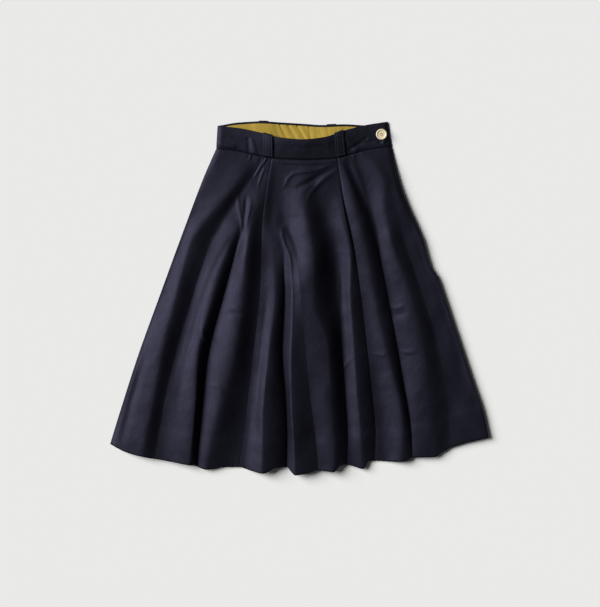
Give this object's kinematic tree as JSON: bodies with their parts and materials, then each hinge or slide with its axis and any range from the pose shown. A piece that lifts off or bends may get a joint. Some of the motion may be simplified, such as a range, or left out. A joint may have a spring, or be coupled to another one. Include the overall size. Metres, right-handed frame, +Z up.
{
  "type": "circle skirt",
  "caption": "Knee-length flared skirt laid flat, cut in gores, with deep hem flutes, a faced waistband, belt loops and a side button.",
  "frame": {"origin": "on the table, under the middle of the skirt's box", "axes": "+X to the right of the skirt as it is looked down on, +Y towards the waist, +Z up from the table"},
  "size_m": [0.7178, 0.672, 0.0262],
  "materials": {
    "navy_satin": "heavy cotton satin with a soft broad sheen",
    "mustard_facing": "matt cotton",
    "shell_button": "polished pale shell",
    "zip_tape": "matt woven tape"
  },
  "bodies": {
    "root": {"front_gore_left": "navy_satin", "front_gore_centre": "navy_satin", "front_gore_right": "navy_satin", "back_gore_left": "navy_satin", "back_gore_centre": "navy_satin", "back_gore_right": "navy_satin", "waistband_front": "navy_satin", "waistband_back": "navy_satin", "facing_front": "mustard_facing", "facing_back": "mustard_facing", "belt_loop_front_left": "navy_satin", "belt_loop_front_right": "navy_satin", "belt_loop_back_left": "navy_satin", "belt_loop_back_right": "navy_satin", "side_zip": "zip_tape", "button": "shell_button"}
  },
  "joints": []
}
